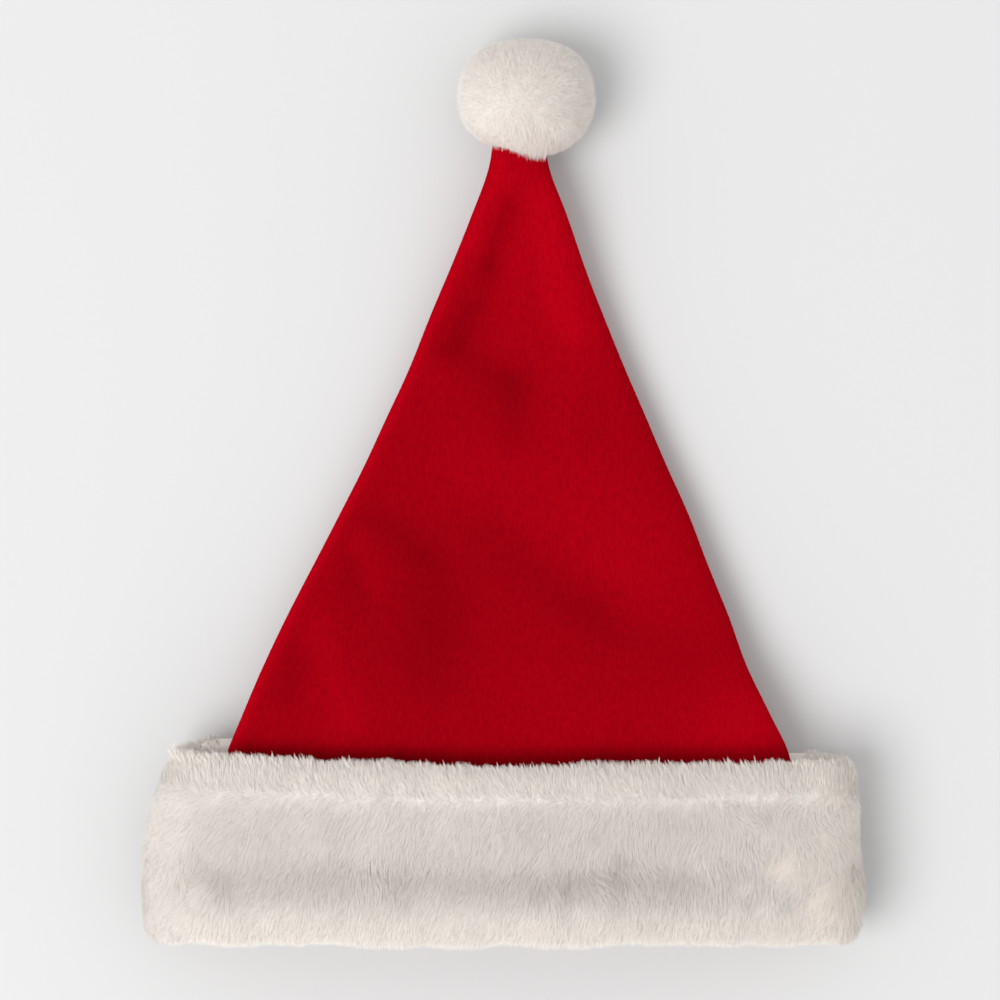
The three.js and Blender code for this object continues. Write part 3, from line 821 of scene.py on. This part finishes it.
def grow_cuff_fur(name, where, count, seed, is_front, skin, made):
    """One piece of the cuff's fur: parted near the top, turned in its tufts and drawn into locks."""
    random = np.random.default_rng(seed)
    row, column = scatter(skin.grid, skin.furry * where, count, random)
    root = at_place(skin.grid, row, column)
    outward = unit(at_place(skin.normals, row, column))
    along_rim = unit(at_place(skin.round_way, row, column))
    along_profile = unit(at_place(skin.profile_way, row, column))
    height, through = at_place(skin.shares, row, column).T
    edge = smooth_step(0.93, 0.99, height) * (through > 0.1)
    inside = (through < 0.3) & (height > 0.7)
    parting = PARTING + 0.014 * noise(root, 30, 31)
    above = smooth_step(parting - 0.04, parting + 0.04, height + random.normal(0, 0.022, count))
    way = np.where(inside, 1.0, above * 2 - 1)
    way = np.where(np.abs(way) < 0.3, 0.3 * np.where(way < 0, -1, 1), way)
    nap, lift, tufted = cuff_nap(root, outward, along_rim, along_profile, height, edge, way, random)
    length = CUFF_FIBRE * (1 + 0.15 * noise(root, 9, 44)) * random.uniform(0.65, 1.15, count)
    ragged = 0.3 * noise(root, 3.2, 47) - 0.12 if is_front else -0.35
    length = np.where(inside, length * 0.6, length * (1 + edge * ragged))
    length = length * np.where(height < 0.5, 0.4 + 0.6 * smooth_step(0.02, 0.4, through), 1)
    tips = root + (nap * np.cos(lift) + outward * np.sin(lift)) * length[:, None]
    first, second = row * skin.step_round, column * skin.step_across
    roll_over = smooth_step(0.34, 0.12, height) * (through > 0.1)
    tips = clumped(tips, first, second, (2.6, 5.0), random, 0.24 + 0.45 * edge + 0.05 * roll_over)
    tips = clumped(tips, first, second, (1.1, 2.4), random, 0.22)
    root, tips = planted(root, tips, outward)
    tint = cuff_tint(root, height, parting, first, second, way, is_front)
    # Painted light on the bottom roll; the fibres in the tufts are brighter too.
    tint = tint + 0.25 * tufted + 0.1 * roll_over + random.normal(0, 0.08, count)
    if is_front:
        more = fringe(skin.grid[skin.top_edge & where], EDGE_TUFTS, random)
        root, tips, tint = (np.concatenate(pair) for pair in zip((root, tips, tint), more, strict=True))
        outward = np.vstack([outward, np.tile(unit(np.array([0, 0.25, 1.0])), (len(more[0]), 1))])
    added = len(root) - count
    width = random.uniform(0.2, 0.4, len(root))
    width[count:] = random.uniform(0.3, 0.55, added)
    # Fibres at the top edge are shaded as if they faced upwards, so that none turns dark.
    at_edge = np.append(smooth_step(0.84, 0.9, height), np.zeros(added))
    outward[:, 2] = outward[:, 2] + np.maximum(0.6 - outward[:, 2], 0) * at_edge
    fibres(name, made, root, tips, unit(outward), width, tint, random)


def build_cuff():
    """The cuff's backing, and the fur that grows on all of it but the face against the crown."""
    angles = even_angles(CUFF_AROUND)[:, None]
    profile = closed_curve(CUFF_PROFILE, CUFF_ACROSS)
    up, out = profile[:, 0][None, :], profile[:, 1][None, :]
    grid, normals, round_way, profile_way = cuff_skin(angles, up, out)
    backing = grid.copy()
    backing[..., 2] = np.maximum(backing[..., 2], LOWEST_BACKING)
    triangles = grid_triangles(CUFF_AROUND, CUFF_ACROSS, True)[:, ::-1]
    undercoat = [undercoat_material("cuff_undercoat")]
    piece = add_mesh("cuff_backing", backing.reshape(-1, 3), triangles, undercoat)
    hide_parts("fur_cuff")

    up, out = (np.broadcast_to(share, grid.shape[:2]) for share in (up, out))
    turned = np.cos(angles)
    front = np.sin(angles) > -0.12
    at_fold = front | (np.abs(turned) > 0.93)
    furry = np.where(out > np.where(up < 0.5, 0.02, 0.12), 1.0, 0.0)
    furry = np.where((out <= 0.12) & (up > 0.72) & at_fold, 0.6, furry)
    furry = np.where(at_fold, furry, furry * (up < 0.93))
    skin = SimpleNamespace(
        grid=grid,
        normals=normals,
        round_way=round_way,
        profile_way=profile_way,
        shares=np.stack([up, out], axis=2),
        furry=furry,
        top_edge=(np.abs(up - 0.965) < 0.018) & (out > 0.45),
        step_round=np.linalg.norm(np.roll(grid, -1, axis=0) - grid, axis=2).mean(),
        step_across=np.linalg.norm(np.roll(grid, -1, axis=1) - grid, axis=2).mean(),
    )
    made = fur_material("cuff_fur_fibre")
    grow_cuff_fur("cuff_fur_left", front & (turned < -0.4), FRONT_FIBRES, 21, True, skin, made)
    grow_cuff_fur("cuff_fur_middle", front & (np.abs(turned) <= 0.4), FRONT_FIBRES, 22, True, skin, made)
    grow_cuff_fur("cuff_fur_right", front & (turned > 0.4), FRONT_FIBRES, 23, True, skin, made)
    grow_cuff_fur("cuff_fur_back", ~front, BACK_FIBRES, 24, False, skin, made)


def ball_points(direction, inset):
    half = POMPOM_SIZE / 2 - inset
    size = (np.abs(direction) ** BALL_POWER).sum(axis=-1, keepdims=True) ** (1 / BALL_POWER)
    return direction / size * half + POMPOM_AT


def in_crown(points, clear):
    """Which points lie inside the crown's tip or within a clearance of it."""
    distance = np.clip(points[:, 1] - SEWN_EDGE, 0, CROWN_LENGTH)
    right = crown_points(np.zeros(len(points)), np.minimum(distance, CROWN_LENGTH - TIP_ROUND))
    top = crown_points(np.full(len(points), math.pi / 2), np.minimum(distance, CROWN_LENGTH - TIP_ROUND))
    middle = np.stack([top[:, 0], right[:, 2]], axis=1)
    wide = right[:, 0] - middle[:, 0] + clear
    deep = top[:, 2] - middle[:, 1] + clear
    off = (points[:, [0, 2]] - middle) / np.stack([wide, deep], axis=1)
    return ((off**2).sum(axis=1) < 1) & (points[:, 1] < SEWN_EDGE + CROWN_LENGTH + clear)


def pompom_skin():
    """The pompom's ball as a grid of points, its normals, and where its pocket is."""
    turn = np.linspace(0, 2 * math.pi, POMPOM_AROUND, endpoint=False)[:, None]
    rise = np.linspace(0.02, math.pi - 0.02, POMPOM_ACROSS)[None, :]
    parts = np.broadcast_arrays(np.sin(rise) * np.cos(turn), -np.cos(rise), np.sin(rise) * np.sin(turn))
    grid = ball_points(np.stack(parts, axis=-1), POMPOM_BACKING)
    normals = normals_of(grid, False)[0]
    normals = normals * np.sign((normals * (grid - POMPOM_AT)).sum(axis=2, keepdims=True))
    lumps = (0.5 * noise(grid.reshape(-1, 3), 17, 51)).reshape(grid.shape[:2])
    grid = grid + normals * lumps[..., None]
    return grid, normals, in_crown(grid.reshape(-1, 3), 1.3).reshape(grid.shape[:2])


def hanging_locks(random):
    """The locks that hang from the ball over the red cloth: roots, tips, ways outward and tints."""
    count = len(LOCKS) * LOCK_HAIRS
    place = np.repeat(LOCKS, LOCK_HAIRS, axis=0) + random.normal(0, 1, (count, 2)) * [1.0, 1.1]
    across = np.clip((place[:, 0] - TIP_LEAN) / (TIP_WIDTH / 2), -0.95, 0.95)
    over = POMPOM_MIDDLE + TIP_DEPTH / 2 * (1 - across**2) ** (SIDE_FOLD / 2)
    tips = np.column_stack([place, over + random.uniform(0.8, 2.6, count)])
    reach = random.uniform(3.5, 8.5, count)
    half = POMPOM_SIZE / 2 - POMPOM_BACKING
    off = np.zeros((count, 3))
    off[:, 0] = (tips[:, 0] + random.normal(0, 1.4, count) - POMPOM_AT[0]) / half[0]
    off[:, 1] = (np.maximum(tips[:, 1] + reach, LOCK_ROOTS_FROM) - POMPOM_AT[1]) / half[1]
    left_over = 1 - (np.abs(off[:, :2]) ** BALL_POWER).sum(axis=1)
    off[:, 2] = np.maximum(left_over, 0.02) ** (1 / BALL_POWER)
    outward = unit(off / half + [0, 0, 0.008])
    return POMPOM_AT + off * half, tips, outward, random.normal(0.85, 0.14, count)


def build_pompom():
    """The pompom's stuffed ball with a pocket for the crown's tip, and its trimmed fur standing all round."""
    grid, normals, pocket = pompom_skin()
    skin = grid.copy()
    skin[pocket, 1] = SEWN_EDGE + CROWN_LENGTH + 0.5
    skin[..., 2] = np.maximum(skin[..., 2], LOWEST_BACKING)
    points = np.vstack([skin.reshape(-1, 3), skin[:, 0].mean(axis=0), skin[:, -1].mean(axis=0)])
    fans = end_fans(POMPOM_AROUND, POMPOM_ACROSS)
    triangles = np.concatenate([grid_triangles(POMPOM_AROUND, POMPOM_ACROSS, False), fans])
    made = [undercoat_material("pompom_undercoat")]
    piece = add_mesh("pompom_backing", points, triangles, made)
    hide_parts("pompom")

    random = np.random.default_rng(61)
    count = POMPOM_FIBRES
    row, column = scatter(grid, np.where(pocket, 0.0, 1.0), count, random, closed_columns=False)
    root = at_place(grid, row, column)
    outward = unit(at_place(normals, row, column))
    near_tip = smooth_step(16, 4, root[:, 1] - (SEWN_EDGE + CROWN_LENGTH - POMPOM_COVER))
    aim = np.array([0.0, 0.15, -0.9]) + 0.3 * np.stack([noise(root, 9, k) for k in (62, 63, 64)], axis=1)
    aim = aim * (1 - near_tip)[:, None] + np.array([0.05, -1.0, -0.1]) * near_tip[:, None]
    aim = aim + random.normal(0, 1, (count, 3)) * (0.55 - 0.4 * near_tip)[:, None]
    aim = unit(aim - outward * (aim * outward).sum(axis=1, keepdims=True))
    at_top = smooth_step(417, 424, root[:, 1])
    raised = 28 + random.normal(0, 9, count) - 10 * near_tip - 11 * at_top
    raised = np.radians(np.clip(raised, 8, 85))[:, None]
    lower_right = near_tip * smooth_step(2, 20, root[:, 0])
    lower_left = near_tip * smooth_step(8, -2, root[:, 0])
    length = POMPOM_FIBRE * random.uniform(0.7, 1.15, count) * (1 + 0.2 * near_tip + 0.4 * lower_right)
    length = length * (1 + 0.22 * noise(root, 2.6, 66)) * (1 - 0.65 * lower_left)
    length = np.where(random.random(count) < 0.04, length * 1.35, length)
    tips = root + (aim * np.cos(raised) + outward * np.sin(raised)) * length[:, None]
    mean_radius = 28
    step = 2 * math.pi * mean_radius / POMPOM_AROUND
    ring = np.linalg.norm((root - POMPOM_AT)[:, [0, 2]], axis=1) / mean_radius
    first, second = row * step * ring, column * step
    tips = clumped(tips, first, second, (2.0, 2.0), random, 0.3 + 0.35 * near_tip)
    tips = clumped(tips, first, second, (0.9, 0.9), random, 0.3)
    root, tips = planted(root, tips, outward)
    tint = 0.98 + 0.08 * noise(root, 12, 65) + random.normal(0, 0.12, count)
    grown = (root, tips, outward, tint)
    locks = hanging_locks(random)
    root, tips, outward, tint = (np.concatenate(pair) for pair in zip(grown, locks, strict=True))
    width = random.uniform(0.2, 0.36, len(root))
    made = fur_material("pompom_fur_fibre")
    fibres("pompom_fur_fibres", made, root, tips, outward, width, tint, random, 0.2, 0.13)


def softbox(name, place, size, power):
    """A round soft light aimed at the hat."""
    light = bpy.data.lights.new(name, "AREA")
    light.shape = "DISK"
    light.size = size
    light.energy = power
    lamp = bpy.data.objects.new(name, light)
    lamp.location = place
    lamp.rotation_mode = "QUATERNION"
    lamp.rotation_quaternion = (Vector((0, 0, 0.02)) - Vector(place)).to_track_quat("-Z", "Y")
    bpy.context.scene.collection.objects.link(lamp)


def build_stage():
    """A plain pale floor, soft light from the lower left and the camera straight above, as in the photo."""
    scene = bpy.context.scene
    scene.view_settings.view_transform = "Standard"
    scene.view_settings.look = "None"
    floor_material, _, _, shader = material("floor")
    shader.inputs["Base Color"].default_value = (0.685, 0.685, 0.685, 1)
    matte(shader, 1.0, 0.0)
    mesh = bpy.data.meshes.new("floor")
    reach = 4.0
    corners = [(-reach, -reach, 0), (reach, -reach, 0), (reach, reach, 0), (-reach, reach, 0)]
    mesh.from_pydata(corners, [], [(0, 1, 2, 3)])
    mesh.materials.append(floor_material)
    floor = bpy.data.objects.new("floor", mesh)
    scene.collection.objects.link(floor)

    world = bpy.data.worlds.new("soft_room")
    world.use_nodes = True
    world.node_tree.nodes["Background"].inputs["Color"].default_value = (1.0, 1.0, 1.0, 1)
    world.node_tree.nodes["Background"].inputs["Strength"].default_value = 0.79
    scene.world = world
    softbox("key", (-2.1, -1.2, 3.9), 3.0, 123)

    camera_data = bpy.data.cameras.new("camera")
    camera = bpy.data.objects.new("camera", camera_data)
    scene.collection.objects.link(camera)
    distance, plane, view_width = 1.8, 0.031, 0.47
    camera_data.sensor_width = 36
    camera_data.lens = 36 * distance / view_width
    camera_data.clip_end = 20
    camera.location = (RIM_AT[0] - 1.41 * MM, RIM_AT[1] + 209.6 * MM, plane + distance)
    scene.camera = camera


build_stage()
build_crown()
build_cuff()
build_pompom()
